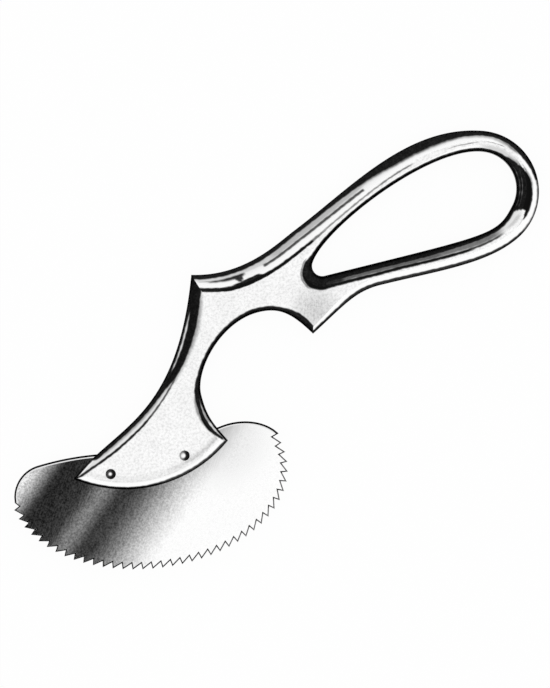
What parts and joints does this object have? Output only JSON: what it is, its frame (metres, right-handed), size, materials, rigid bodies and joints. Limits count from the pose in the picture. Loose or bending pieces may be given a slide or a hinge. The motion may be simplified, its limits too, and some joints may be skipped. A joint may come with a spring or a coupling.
{
  "type": "plaster saw",
  "caption": "Hand saw for plaster casts: a curved, toothed steel blade riveted into the foot of a forged handle with a finger notch and a teardrop loop.",
  "frame": {"origin": "on the handle's flat back face, midway between the two rivets", "axes": "+X along the line of the rivets towards the loop, +Y from the teeth towards the loop, +Z through the thickness towards the face with the rivet heads"},
  "size_m": [0.1412, 0.0849, 0.0066],
  "materials": {
    "handle": "satin flat faces with polished rounded edges",
    "blade": "ground and polished sheet",
    "rivet": "polished head"
  },
  "bodies": {
    "root": {"handle": "handle", "blade": "blade", "rivet_front": "rivet", "rivet_rear": "rivet"}
  },
  "joints": []
}
